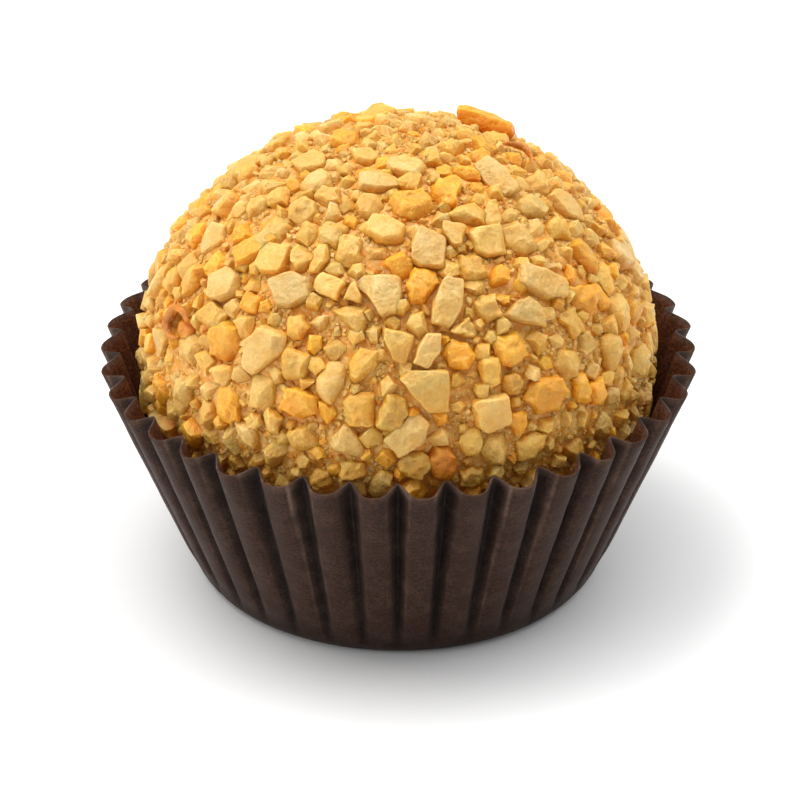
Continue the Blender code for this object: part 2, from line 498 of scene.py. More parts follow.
@dataclass(frozen=True)
class CaseForm:
    """A flat round of paper pressed into a cup, its spare width taken up by flutes."""

    flutes: int = 38
    base_radius: float = 13.4 * MM
    wall_length: float = 16.3 * MM
    lean: float = math.radians(19.5)
    crease_radius: float = 1.2 * MM
    paper: float = 0.13 * MM
    flank_share: float = 0.46
    seed: int = 38

    @property
    def turn(self) -> float:
        """Angle through which the paper bends from the base up into the wall."""
        return 0.5 * math.pi - self.lean

    @property
    def tangent(self) -> float:
        """Length of paper on each side of the corner that the crease's arc replaces."""
        return self.crease_radius * math.tan(0.5 * self.turn)

    def line(self, slant: Array) -> tuple[Array, Array, Array, Array]:
        """Radius, height and outward normal of the wall's middle line.

        Up to the crease's tangent it is an arc from the base. Beyond, radius grows with
        sin(lean) and height with cos(lean) for each length of wall.

        Args:
            slant: Lengths up the wall from the corner of its cone and the base.

        Returns:
            Radius, height, and the normal's horizontal and vertical part.
        """
        facing = self.turn * np.clip(slant / self.tangent, 0.0, 1.0) - 0.5 * math.pi
        beyond = np.maximum(slant - self.tangent, 0.0)
        arc = self.crease_radius
        radius = self.base_radius - self.tangent + arc * np.cos(facing)
        height = 0.5 * self.paper + arc + arc * np.sin(facing)
        radius = radius + beyond * math.sin(self.lean)
        height = height + beyond * math.cos(self.lean)
        return radius, height, np.cos(facing), np.sin(facing)

    def flute_depth(self, slant: Array) -> Array:
        """Depth from fold to ridge that takes up all the spare paper.

        The flat paper is (base + s) / (base + s sin(lean)) times too long for the cup at
        slant s. Flanks of slope m over a share f of the pitch p add f (sqrt(1 + m^2) - 1),
        and the depth is m f p / 2.
        """
        cup = self.base_radius + slant * math.sin(self.lean)
        spare = slant * (1.0 - math.sin(self.lean)) / cup
        slope = np.sqrt((1.0 + spare / self.flank_share) ** 2 - 1.0)
        return 0.5 * self.flank_share * slope * 2.0 * math.pi * cup / self.flutes

    def fold_radius(self, height: Array) -> Array:
        """Radius of the folds, the innermost paper, at a height. Wide open over the rim."""
        slants = np.linspace(0.0, self.wall_length, 200)
        radius, level, out, up = self.line(slants)
        half = 0.5 * self.flute_depth(slants)
        return np.interp(height, level - up * half, radius - out * half, right=1.0)


@dataclass(frozen=True)
class Lamp:
    """A soft square light, aimed at the middle of the object."""

    name: str
    place: tuple[float, float, float]
    width: float
    watts: float
    colour: Colour = (1.0, 1.0, 1.0)


@dataclass(frozen=True)
class Studio:
    """Camera, lights, world and floor, and the point that lights and camera aim at."""

    aim: tuple[float, float, float] = (0.13 * MM, 0.0, 11.26 * MM)
    distance: float = 253.5 * MM
    elevation: float = math.radians(29.6)
    lens: float = 172.9
    floor_width: float = 6.0
    sky: float = 0.42
    lamps: tuple[Lamp, ...] = (
        Lamp("left_softbox", (-0.22, 0.06, 0.45), 0.36, 1.55, (1.0, 0.985, 0.96)),
        Lamp("right_softbox", (0.32, 0.12, 0.38), 0.40, 0.95),
        Lamp("top_softbox", (0.0, 0.04, 0.50), 0.50, 1.6),
        Lamp("left_fill", (-0.58, -0.20, 0.16), 0.35, 1.35),
    )

    def build(self) -> None:
        """Make the camera, lamps, sky and floor."""
        scene = bpy.context.scene
        camera = bpy.data.objects.new("camera", bpy.data.cameras.new("camera"))
        camera.data.lens = self.lens
        camera.data.clip_start = 0.01
        camera.data.clip_end = 10.0
        scene.collection.objects.link(camera)
        back = np.array((0.0, -math.cos(self.elevation), math.sin(self.elevation)))
        self.look(camera, self.aim + self.distance * back)
        scene.camera = camera
        for lamp in self.lamps:
            light = bpy.data.lights.new(lamp.name, "AREA")
            light.shape = "SQUARE"
            light.size = lamp.width
            light.energy = lamp.watts
            light.color = lamp.colour
            thing = bpy.data.objects.new(lamp.name, light)
            scene.collection.objects.link(thing)
            self.look(thing, np.array(lamp.place))
        world = bpy.data.worlds.new("studio")
        world.use_nodes = True
        background = world.node_tree.nodes["Background"]
        background.inputs["Color"].default_value = (1.0, 1.0, 1.0, 1.0)
        background.inputs["Strength"].default_value = self.sky
        scene.world = world
        scene.view_settings.view_transform = "Standard"
        self.floor()

    def look(self, thing: Piece, place: Array) -> None:
        """Put a lamp or camera at a place, looking at the aim with +Z kept upright."""
        back = unit(place - self.aim)
        right = unit(np.cross((0.0, 0.0, 1.0), back))
        matrix = np.eye(4)
        matrix[:3] = np.stack([right, np.cross(back, right), back, place], axis=1)
        thing.matrix_world = [list(row) for row in matrix.T]

    def floor(self) -> None:
        """Make a flat pale floor whose top is at z = 0."""
        half = 0.5 * self.floor_width
        corners = np.array([(-half, -half, 0), (half, -half, 0), (half, half, 0), (-half, half, 0)])
        floor = mesh_piece("floor", corners, [np.array([[0, 1, 2, 3]])])
        floor.data.materials.append(FloorFinish("floor_white", (0.93, 0.93, 0.93)).material())


@dataclass(frozen=True)
class PaperCase:
    """The fluted paper case, both faces of the sheet and its cut rim in one piece.

    The wander of the folds and the lean of the lobes are in pitches. How high a fold
    rises and how far a lobe falls are shares of the flutes' depth. The flutes start a
    little up the wall and grow over a stretch of it. Crown, sharpness and openness have a
    value for the foot of the wall and what the rim adds to it. Each wave of the rim has its
    number round the case, its turn and its height.
    """

    form: CaseForm
    columns_per_flute: int = 24
    rows: int = 34
    flank_width: float = 0.21
    corner_width: float = 0.07
    crown: Span = (0.10, 0.08)
    sharpness: Span = (16.0, -7.0)
    openness: Span = (0.03, 0.06)
    wander: float = 0.05
    fold_rise: float = 0.14
    lobe_fall: float = 0.10
    lobe_lean: float = 0.05
    rubbing_and_sheen: Span = (0.15, 1.1)
    flutes_start: float = 0.4 * MM
    flutes_grow: float = 2.8 * MM
    rim_waves: tuple[tuple[float, float, float], ...] = ((3.0, 0.7, 0.05 * MM), (7.0, 0.0, 0.04 * MM))
    crinkle: float = 0.035 * MM
    crinkle_width: float = 1.3 * MM
    # The inner colour holds painted light through the paper, the darkest one is painted shade for the
    # folds, and the pale one is wear with a painted sheen on the creases.
    finish: PaperFinish = PaperFinish(
        "dark_case_paper",
        outside=linear(50, 30, 21),
        inside_lit_through=linear(100, 62, 44),
        fold_shade=linear(14, 8, 6),
        wear_and_sheen=linear(150, 122, 106),
    )

    def section(self, across: Array, openness: Array, rise: Array) -> tuple[Array, Array]:
        """Share of the depth across one flute, and how near the ridge's corners are.

        With a the distance from the fold in pitches, the flank is
        (sqrt(a^2 + f^2) - f) / w, where f is the fold's roundness and w the flank's
        width. It gives way to the gently crowned lobe by a soft minimum, softer at the rim.

        Args:
            across: Place in the flute, 0 and 1 at its two folds.
            openness: Roundness of the fold in pitches.
            rise: Share of the way up the wall.

        Returns:
            The share of the depth, and 1 on the lobe's corners falling to 0 beside them.
        """
        away = np.minimum(across, 1.0 - across)
        flank = (np.sqrt(away**2 + openness**2) - openness) / self.flank_width
        crown = self.crown[0] + self.crown[1] * rise**2
        lobe = 1.0 - crown * ((0.5 - away) / 0.25) ** 2
        sharpness = self.sharpness[0] + self.sharpness[1] * rise**3
        share = -np.log(np.exp(-sharpness * flank) + np.exp(-sharpness * lobe)) / sharpness
        corner = np.exp(-(((flank - lobe) / self.corner_width) ** 2))
        return share, corner

    def build(self) -> Piece:
        """Make the piece.

        The middle of the sheet is the wall's line moved along its normal by
        depth * (share - 1/2). Its two faces lie half the paper's thickness to each side.

        Returns:
            The dressed piece.
        """
        form = self.form
        rng = np.random.default_rng(form.seed)
        wander = rng.uniform(-self.wander, self.wander, form.flutes)
        folds = np.arange(form.flutes) + wander
        widths = np.roll(folds, -1) - folds
        widths[-1] += form.flutes
        fold_rise = 1.0 - rng.uniform(1.0 - self.fold_rise, 1.0, form.flutes)
        lobe_fall = rng.uniform(0.0, self.lobe_fall, form.flutes)
        lean_side = rng.normal(0.0, self.lobe_lean, form.flutes)
        rubbing_and_sheen = rng.uniform(*self.rubbing_and_sheen, (form.flutes, 2))

        across = np.arange(self.columns_per_flute) / self.columns_per_flute
        steps = np.linspace(0.0, 1.0, self.rows) ** 1.25
        slant = steps * form.wall_length
        rise = (slant / form.wall_length)[:, None, None]
        openness = self.openness[0] + self.openness[1] * rise**2
        share, corner = self.section(across[None, None, :], openness, rise)
        share = np.broadcast_to(share, (self.rows, form.flutes, len(across))).copy()
        near_fold = 1.0 - np.clip(share, 0.0, 1.0)
        share += near_fold * fold_rise[None, :, None] - (1.0 - near_fold) * lobe_fall[None, :, None]
        skew = lean_side[None, :, None] * rise * np.sin(2.0 * math.pi * across)[None, None, :] * 0.3
        turns = (folds[None, :, None] + widths[None, :, None] * (across + skew)) / form.flutes
        bearing = (2.0 * math.pi * turns - 0.5 * math.pi).reshape(self.rows, -1)
        share = share.reshape(self.rows, -1)
        # Each corner's crease line gets its own strength, for both its wear and its painted sheen.
        rubbed_and_sheen = np.where(across[None, :] < 0.5, rubbing_and_sheen[:, :1], rubbing_and_sheen[:, 1:])
        corner = (corner * rubbed_and_sheen[None]).reshape(self.rows, -1)

        radius, height, out, up = form.line(slant)
        grown = np.clip((slant - self.flutes_start) / self.flutes_grow, 0.0, 1.0)
        depth = (form.flute_depth(slant) * grown * grown * (3.0 - 2.0 * grown))[:, None]
        offset = depth * (share - 0.5)
        reach = radius[:, None] + out[:, None] * offset
        level = height[:, None] + up[:, None] * offset
        sheet = np.stack([reach * np.cos(bearing), reach * np.sin(bearing), level], axis=-1)
        rim_wave = sum(high * np.sin(times * bearing + turn) for times, turn, high in self.rim_waves)
        sheet[..., 2] += rim_wave * rise[..., 0] ** 2
        crinkle = lattice_noise(sheet, self.crinkle_width, 5) * self.crinkle * rise[..., 0]
        around = np.roll(sheet, -1, axis=1) - np.roll(sheet, 1, axis=1)
        upward = np.gradient(sheet, axis=0)
        normal = unit(np.cross(around, upward))
        sheet = sheet + normal * crinkle[..., None]

        half = 0.5 * form.paper
        outer = sheet + normal * half
        inner = sheet - normal * half
        outer[0, :, 2] = 0.0
        inner[0, :, 2] = form.paper
        outer_index = np.arange(self.rows * sheet.shape[1]).reshape(self.rows, -1)
        inner_index = outer_index + outer_index.size
        middle = 2 * outer_index.size
        faces = [
            strips(outer_index[:-1], outer_index[1:]),
            strips(inner_index[1:], inner_index[:-1]),
            strips(outer_index[-1], inner_index[-1]),
            fan(middle, outer_index[0], False),
            fan(middle + 1, inner_index[0], True),
        ]
        centre = np.array([(0.0, 0.0, 0.0), (0.0, 0.0, form.paper)])
        points = np.concatenate([outer.reshape(-1, 3), inner.reshape(-1, 3), centre])
        piece = mesh_piece("fluted_paper_case", points, faces)

        # Pale crease lines on the lobes' corners and the rim's edge: wear and a painted sheen, half as
        # strong on the inner face.
        rim = np.clip((steps - 0.985) / 0.015, 0.0, 1.0)[:, None] * 0.35
        wear_and_sheen = np.clip(0.85 * corner * rise[..., 0] + rim, 0.0, 1.0).ravel()
        weigh(piece, "crease", np.concatenate([wear_and_sheen, 0.5 * wear_and_sheen, [0.0, 0.0]]))
        # Painted shade in the folds, on the outer face only.
        fold = (0.5 + (np.clip(1.0 - share, 0.0, 1.0) - 0.5) * grown[:, None]).ravel()
        weigh(piece, "fold", np.concatenate([fold, np.zeros(fold.size + 2)]))
        side = np.concatenate([np.ones(wear_and_sheen.size), np.zeros(wear_and_sheen.size), [1.0, 0.0]])
        side[inner_index[-1]] = 1.0
        weigh(piece, "outer", side)
        piece.data.materials.append(self.finish.material())
        return piece


@dataclass(frozen=True)
class SweetCore:
    """The ball of sweet itself, as it shows between the nuts, sunk under their tops.

    Each size of bump has its width and its height.
    """

    form: BallForm
    sunk: float = 0.6 * MM
    bumps: tuple[Span, ...] = ((2.6 * MM, 0.14 * MM), (1.0 * MM, 0.14 * MM), (0.5 * MM, 0.10 * MM))
    around: int = 480
    upward: int = 200
    # The roasted colour also paints shade between the grains, and the last colour is a painted glow
    # beside the nuts.
    finish: SweetFinish = SweetFinish(
        "sticky_sweet",
        tan=linear(214, 163, 76),
        pale=linear(233, 199, 120),
        roast_and_grain_shade=linear(212, 147, 48),
        painted_glow=linear(224, 138, 22),
    )

    def depth(self, directions: Array) -> Array:
        """How deep the sweet lies: an even depth less noise of three sizes."""
        smooth = self.form.points(directions, self.sunk)
        sizes = enumerate(self.bumps, 11)
        return self.sunk - sum(high * lattice_noise(smooth, wide, seed) for seed, (wide, high) in sizes)

    def build(self, coat: "NutCoat") -> Piece:
        """Make the piece, with the attribute beside for the painted glow: 1 at the edge of a nut, 0 away
        from it.

        Args:
            coat: The nuts, laid already.

        Returns:
            The dressed piece.
        """
        step = np.linspace(0.0, 1.0, self.upward + 2)[1:-1]
        rise = np.radians(np.interp(step, (0.0, 0.14, 1.0), (-90.0, -25.0, 90.0)))
        turn = np.arange(self.around) * 2.0 * math.pi / self.around
        level = np.cos(rise)[:, None]
        directions = np.stack(
            [level * np.cos(turn), level * np.sin(turn), np.sin(rise)[:, None] + 0.0 * turn],
            axis=-1,
        )
        ends = np.array([(0.0, 0.0, -1.0), (0.0, 0.0, 1.0)])
        directions = np.concatenate([directions.reshape(-1, 3), ends])
        points = self.form.points(directions, self.depth(directions))
        points[:, 2] = np.maximum(points[:, 2], self.form.foot)
        piece = mesh_piece("sticky_sweet_ball", points, closed_faces(len(rise), self.around))
        least_nut, glow_width = 0.6 * MM, 0.45 * MM
        gap = coat.beyond(directions, least_nut)
        weigh(piece, "beside", np.clip(1.0 - gap / glow_width, 0.0, 1.0))
        piece.data.materials.append(self.finish.material())
        return piece


# --- Nuts -------------------------------------------------------------------------------


class Tone(Enum):
    """Colours that pieces of the same batch of nuts come out in."""

    IVORY = linear(219, 183, 109)
    BUTTER = linear(216, 177, 94)
    STRAW = linear(215, 170, 77)
    DOUGH = linear(216, 168, 84)
    GOLD = linear(226, 167, 52)
    ROAST = linear(208, 136, 40)


class Cut(Enum):
    """Profiles of a chip, from the underside over the sides to the top.

    Each row gives the mix of the lower and the upper outline, the share of its width, how
    far it is drawn in to the chip's crest, the level from -1 to 1, and the painted light
    there: painted shade in deep orange below, where the nut sits in the sweet, and a
    painted highlight on the edge, as if light came through it.
    """

    PLATE = (
        (0.0, 0.84, 0.0, -1.00, (1.00, 0.67, 0.22)),
        (0.3, 1.00, 0.0, 0.00, (1.00, 0.77, 0.34)),
        (1.0, 1.00, 0.0, 0.80, (1.02, 1.04, 1.08)),
        (1.0, 0.92, 0.0, 1.00, (1.00, 1.00, 1.00)),
    )
    CHUNK = (
        (0.0, 0.84, 0.0, -1.00, (1.00, 0.67, 0.22)),
        (0.4, 1.00, 0.0, -0.30, (1.00, 0.77, 0.34)),
        (1.0, 0.97, 0.0, 0.25, (1.00, 0.94, 0.80)),
        (1.0, 1.00, 1.0, 1.00, (1.01, 1.02, 1.05)),
    )
    BROKEN = (
        (0.0, 0.84, 0.0, -0.90, (1.00, 0.67, 0.22)),
        (0.4, 1.00, 0.0, -0.10, (1.00, 0.78, 0.38)),
        (0.9, 0.97, 0.1, 0.55, (1.01, 1.00, 0.96)),
        (1.0, 0.90, 0.5, 0.95, (1.00, 1.00, 1.00)),
    )
    PEBBLE = (
        (0.0, 0.90, 0.0, -0.90, (1.00, 0.68, 0.26)),
        (0.5, 1.00, 0.0, 0.00, (1.00, 0.84, 0.54)),
        (1.0, 1.00, 0.8, 0.95, (1.00, 1.00, 1.00)),
    )
    CRUMB = (
        (0.0, 1.00, 0.0, -0.60, (1.00, 0.88, 0.62)),
        (1.0, 0.70, 0.0, 0.75, (1.00, 1.00, 1.00)),
    )


class Outline(Enum):
    """Outlines that the knife leaves, seen from outside with the rise upwards.

    Corners run anticlockwise in half widths and half heights.
    """

    TRAPEZOID = ((0.8, 0.8), (-0.7, 1.0), (-1.0, 0.5), (0.0, -1.0), (0.8, -0.95), (1.0, 0.1))
    SHIELD = ((0.9, 0.85), (-0.3, 1.0), (-1.0, 0.1), (-0.85, -0.85), (-0.25, -1.0), (1.0, 0.15))
    FAN = ((0.6, 0.9), (-0.2, 1.0), (-1.0, 0.25), (-0.4, -1.0), (0.3, -0.85), (1.0, -0.1))
    WEDGE = ((0.6, 1.0), (-0.3, 0.7), (-1.0, 0.1), (-0.1, -0.5), (0.9, -1.0), (1.0, 0.1))
    TRIANGLE = ((0.2, 1.0), (-0.15, 1.0), (-0.9, -0.4), (-1.0, -0.8), (0.9, -1.0), (1.0, -0.5))
    KITE = ((0.9, 0.45), (0.3, 0.75), (-0.9, 1.0), (-1.0, 0.3), (-0.3, -0.9), (0.35, -1.0))
    BLOCK = ((0.9, 1.0), (-0.7, 0.95), (-1.0, 0.5), (-0.85, -0.7), (-0.3, -1.0), (1.0, -0.8))
    SLAB = ((0.85, 0.8), (-0.2, 1.0), (-0.95, 0.7), (-1.0, -0.6), (0.1, -0.95), (1.0, -0.4))
    ROUND = ((0.6, 0.85), (-0.5, 1.0), (-1.0, 0.1), (-0.55, -0.9), (0.5, -1.0), (1.0, 0.0))


@dataclass(frozen=True)
class Placed:
    """One of the nuts that the eye picks out first, at its own place on the ball.

    Bearing and rise are in degrees and the sizes in millimetres: across is level, and up
    is square to it. The spin turns both anticlockwise. Proud lifts the nut by half of it.
    """

    outline: Outline
    bearing: float
    rise: float
    across: float
    up: float
    spin: float
    tone: Tone
    proud: float = 0.0


@dataclass(frozen=True)
class Grade:
    """One size and cut of chopped nut.

    Slimness is width over length, and thickness is thickness over length or, for nuts with
    their own place, over their mean width. Lean is the spread of the tilt in radians.
    Count, length, slimness, crowding, depth and tones are for scattered grades.
    """

    name: str
    cut: Cut
    seed: int
    thickness: Span
    lean: float
    nibble: float = 0.0
    lumps: float = 0.0
    sides: int = 5
    corner_points: int = 1
    fineness: int = 1
    ruggedness: float = 0.0
    count: int = 0
    length: Span = (0.0, 0.0)
    slimness: Span = (0.60, 1.0)
    crowding: float = 0.0
    depth: Span = (0.0, 0.0)
    tones: dict[Tone, int] = field(default_factory=dict)


class ChipShape:
    """Chips of one grade, all laid out alike and each of its own shape.

    Pairs give the least and the greatest value. Lengths are for a chip of half length 1,
    apart from the noise of its rugged faces, which has its cell and its share of the depth.
    """

    rings_over_top: Span = (0.62, 0.28)
    smoothing: tuple[float, float, float] = (0.2, 0.6, 0.2)
    corner_rounding: float = 0.15
    rugged_noise: tuple[Span, ...] = ((0.9 * MM, 0.6), (0.4 * MM, 1.0))
    side_turn: Span = (-0.30, 0.30)
    side_trim: Span = (0.80, 1.0)
    corner_trim: Span = (0.03, 0.13)
    crest_aside: Span = (-0.28, 0.28)
    crest_shares: tuple[Span, Span] = ((0.35, 0.80), (0.10, 0.55))
    tip_rise: Span = (0.0, 0.10)
    top_slope: float = 0.14
    cut_start: Span = (0.15, 0.9)
    cut_steepness: Span = (0.3, 1.6)
    cut_levels: Span = (-0.25, 1.05)
    bend: float = 2.0
    bend_height: float = 0.03

    def __init__(self, grade: Grade) -> None:
        """Keep the grade and its profile."""
        self.grade = grade
        rows = np.array([(*row[:4], *row[4]) for row in grade.cut.value])
        if grade.fineness > 1:
            rows = self.refined(rows)
        self.profile, self.painted_tints = rows[:, :4], rows[:, 4:]
        middle = 1 if grade.nibble > 0.0 else 0
        self.columns = grade.sides * (grade.corner_points + middle) * grade.fineness

    def refined(self, rows: Array) -> Array:
        """The profile with more rows: two over the top, others between, all a little rounded."""
        inner = rows[[-1, -1]].copy()
        inner[:, 1] = rows[-1, 1] * np.array(self.rings_over_top)
        rows = np.concatenate([rows, inner])
        number = np.arange(len(rows))
        place = np.linspace(0.0, len(rows) - 1.0, self.grade.fineness * (len(rows) - 1) + 1)
        fine = np.stack([np.interp(place, number, column) for column in rows.T], axis=-1)
        before, here, after = self.smoothing
        fine[1:-1] = before * fine[:-2] + here * fine[1:-1] + after * fine[2:]
        return fine

    def rounded(self, outline: Array) -> Array:
        """The outline with each side split evenly, and its corners a little rounded."""
        share = (np.arange(self.grade.fineness) / self.grade.fineness)[None, None, :, None]
        onward = np.roll(outline, -1, axis=1)
        fine = outline[:, :, None] * (1.0 - share) + onward[:, :, None] * share
        fine = fine.reshape(len(outline), -1, 2)
        side = self.corner_rounding
        kept = (1.0 - 2.0 * side) * fine
        return kept + side * np.roll(fine, 1, axis=1) + side * np.roll(fine, -1, axis=1)

    def rugged(self, chips: Array, rng: Random) -> Array:
        """Chips of true size with uneven faces, from noise of two sizes on each axis."""
        place = chips + rng.uniform(-1.0, 1.0, (len(chips), 1, 3))
        moved = chips.copy()
        for cell, share in self.rugged_noise:
            noise = [lattice_noise(place, cell, self.grade.seed + axis) for axis in range(3)]
            moved += np.stack(noise, axis=-1) * share * self.grade.ruggedness
        return moved

    def outline(self, slimness: Array, rng: Random) -> Array:
        """Polygons with straight sides that just hold an ellipse of half length 1.

        Side i of k faces an angle t of about 2 pi i / k, at the distance
        sqrt(cos(t)^2 + (slimness sin(t))^2) of the ellipse's tangent, a little changed.
        Corners are where neighbouring sides cross.

        Args:
            slimness: The ellipse's width over its length, one a chip.
            rng: Source of the chips' own shapes.

        Returns:
            An array of chip, corner and axis.
        """
        count, sides = len(slimness), self.grade.sides
        number = np.arange(sides) + rng.uniform(*self.side_turn, (count, sides))
        turn = (number + rng.uniform(0.0, 1.0, (count, 1))) * 2.0 * math.pi / sides
        away = np.hypot(np.cos(turn), slimness[:, None] * np.sin(turn))
        away = away * rng.uniform(*self.side_trim, (count, sides))
        after, further = np.roll(turn, -1, axis=1), np.roll(away, -1, axis=1)
        crossing = np.sin(after - turn)
        x = (away * np.sin(after) - further * np.sin(turn)) / crossing
        y = (further * np.cos(turn) - away * np.cos(after)) / crossing
        corners = np.stack([x, y], axis=-1)
        longest = np.linalg.norm(corners, axis=-1).max(axis=1)
        return corners / longest[:, None, None]

    def trimmed(self, outline: Array, share: Array, bite: Array) -> Array:
        """The outline with its corners cut off and its sides bitten.

        A corner gives way to points a share of the way to both its neighbours. A side's
        middle moves in, square to the side, by a share of the side's length.
        """
        onward = np.roll(outline, -1, axis=1) - outline
        back = np.roll(outline, 1, axis=1) - outline
        steps = [outline] if self.grade.corner_points == 1 else [
            outline + share * back,
            outline + share * onward,
        ]
        if self.grade.nibble > 0.0:
            inward = np.stack([-onward[..., 1], onward[..., 0]], axis=-1)
            steps.append(outline + 0.5 * onward + bite * inward)
        return np.stack(steps, axis=2).reshape(len(outline), -1, 2)

    def crest(self, rings: Array, aside: Array, rng: Random) -> Array:
        """The rings drawn in to each chip's crest, a ridge or a small lopsided top.

        A ring shrinks to one share of itself along the crest and to a smaller one across
        it, and moves aside.
        """
        count = len(rings)
        turn = rng.uniform(0.0, math.pi, count)
        along = np.stack([np.cos(turn), np.sin(turn)], axis=-1)
        across = np.stack([-np.sin(turn), np.cos(turn)], axis=-1)
        drawn = aside[:, None, None, :]
        for axis, shares in zip((along, across), self.crest_shares):
            part = np.einsum("nrpa,na->nrp", rings, axis) * rng.uniform(*shares, (count, 1, 1))
            drawn = drawn + part[..., None] * axis[:, None, None, :]
        return drawn

    def points(self, rng: Random, lower: Array) -> Array:
        """Chips of half length about 1 lying flat, from -1 at the underside to 1 on top.

        Each ring of a chip is the mix of its lower and upper outline that the profile
        gives, drawn in to the crest by the profile's share. The last two points close the
        chip. A slow wave bends the whole of it a little.

        Args:
            rng: Source of the chips' own shapes.
            lower: Corners of the lower outlines.

        Returns:
            An array of chip, point and axis.
        """
        grade = self.grade
        count = len(lower)
        upper = lower * rng.uniform(*self.side_trim, (count, grade.sides, 1))
        share = rng.uniform(*self.corner_trim, (count, grade.sides, 1))
        bite = rng.uniform(-1.0, 1.0, (count, grade.sides, 1)) * grade.nibble
        lower, upper = self.trimmed(lower, share, bite), self.trimmed(upper, share, bite)
        if grade.fineness > 1:
            lower, upper = self.rounded(lower), self.rounded(upper)
        mix, width, drawn, level = (self.profile[:, column][None, :, None, None] for column in range(4))
        rings = (lower[:, None] * (1.0 - mix) + upper[:, None] * mix) * width
        aside = rng.uniform(*self.crest_aside, (count, 2))
        rings = rings + drawn * (self.crest(rings, aside, rng) - rings)
        rings = rings + rng.normal(0.0, 0.5 * grade.lumps, rings.shape)
        heights = np.broadcast_to(level, (*rings.shape[:3], 1))
        heights = heights + rng.normal(0.0, grade.lumps, heights.shape)
        solid = np.concatenate([rings, heights], axis=-1).reshape(count, -1, 3)
        ends = np.zeros((count, 2, 3))
        ends[:, 0, 2] = self.profile[0, 3]
        ends[:, 1, :2] = aside * self.profile[-1, 2]
        ends[:, 1, 2] = self.profile[-1, 3] + rng.uniform(*self.tip_rise, count)
        solid = np.concatenate([solid, ends], axis=1)
        solid = self.sliced(solid, rng)
        bend = rng.normal(0.0, self.bend, (count, 3, 3))
        phase = rng.uniform(0.0, 2.0 * math.pi, (count, 1, 3))
        wave = np.sin(np.einsum("npa,nab->npb", solid, bend) + phase)
        return solid + wave * self.bend_height

    def sliced(self, solid: Array, rng: Random) -> Array:
        """The chips with tops that slope a little and fall away beyond two slanting cuts."""
        count = len(solid)
        slope = rng.normal(0.0, self.top_slope, (count, 1, 2))
        upward = solid[..., 2] > 0.0
        solid[..., 2] -= np.where(upward, (solid[..., :2] * slope).sum(-1), 0.0)
        for _ in range(2):
            facing = rng.uniform(0.0, 2.0 * math.pi, count)
            start = rng.uniform(*self.cut_start, count)
            steep = rng.uniform(*self.cut_steepness, count)
            along = solid[..., 0] * np.cos(facing)[:, None] + solid[..., 1] * np.sin(facing)[:, None]
            lowest, highest = self.cut_levels
            plane = highest - np.maximum(along - start[:, None], 0.0) * steep[:, None]
            top = np.maximum(np.minimum(solid[..., 2], plane), lowest)
            solid[..., 2] = np.where(upward, top, solid[..., 2])
        return solid

    def painted_light_factors(self) -> Array:
        """The painted light at each point of a chip: painted shade below and a painted highlight on the
        edge.
        """
        rings = np.repeat(self.painted_tints, self.columns, axis=0)
        return np.concatenate([rings, self.painted_tints[:1], self.painted_tints[-1:]])


CUT_NUTS = (
    Placed(Outline.TRAPEZOID, -5, 40.5, 3.0, 2.9, 0, Tone.IVORY, 0.2),
    Placed(Outline.SLAB, 14.5, 38, 3.5, 2.1, 61, Tone.IVORY, 0.3),
    Placed(Outline.BLOCK, -21, 41, 2.1, 1.4, -12, Tone.BUTTER),
    Placed(Outline.TRIANGLE, -13, 40.5, 1.2, 1.3, 10, Tone.BUTTER),
    Placed(Outline.KITE, 0.5, 29.5, 2.4, 2.3, 0, Tone.BUTTER, 0.1),
    Placed(Outline.SLAB, 7.5, 28, 2.4, 1.5, 60, Tone.IVORY, 0.1),
    Placed(Outline.TRAPEZOID, 6.5, 19.5, 3.3, 2.9, 0, Tone.BUTTER, 0.2),
    Placed(Outline.BLOCK, 21, 13, 2.8, 2.4, 0, Tone.IVORY, 0.2),
    Placed(Outline.FAN, -32, 38, 3.5, 2.5, 0, Tone.IVORY, 0.3),
    Placed(Outline.SHIELD, -34, 24, 3.2, 3.5, 0, Tone.IVORY, 0.3),
    Placed(Outline.FAN, -54, 33, 2.9, 2.4, 0, Tone.IVORY, 0.2),
    Placed(Outline.SLAB, -51, 44, 3.4, 1.9, 65, Tone.GOLD, 0.2),
    Placed(Outline.BLOCK, -43, 43.5, 2.4, 2.2, 10, Tone.BUTTER, 0.1),
    Placed(Outline.SLAB, 44.5, 36.5, 3.9, 2.2, -39, Tone.IVORY, 0.4),
    Placed(Outline.WEDGE, 34.5, 32, 3.1, 2.3, 0, Tone.IVORY, 0.3),
    Placed(Outline.BLOCK, 11, 51, 2.4, 2.8, -15, Tone.IVORY, 0.3),
    Placed(Outline.BLOCK, 34, 50.5, 2.5, 2.2, -10, Tone.BUTTER, 0.2),
    Placed(Outline.SLAB, 66, 64, 3.4, 2.0, 90, Tone.IVORY, 0.4),
    Placed(Outline.KITE, 23, 54, 1.8, 2.1, 0, Tone.BUTTER, 0.2),
    Placed(Outline.BLOCK, 8, 78, 2.8, 1.8, 0, Tone.IVORY),
    Placed(Outline.SLAB, -15, 71, 2.8, 1.8, -8, Tone.IVORY, 0.2),
    Placed(Outline.SLAB, -5, 56.5, 2.6, 2.0, -12, Tone.BUTTER, 0.2),
    Placed(Outline.SLAB, 2.5, 10, 3.2, 2.2, 45, Tone.IVORY, 0.2),
    Placed(Outline.SLAB, 136, 59, 4.4, 1.6, 37, Tone.GOLD, 1.2),
)

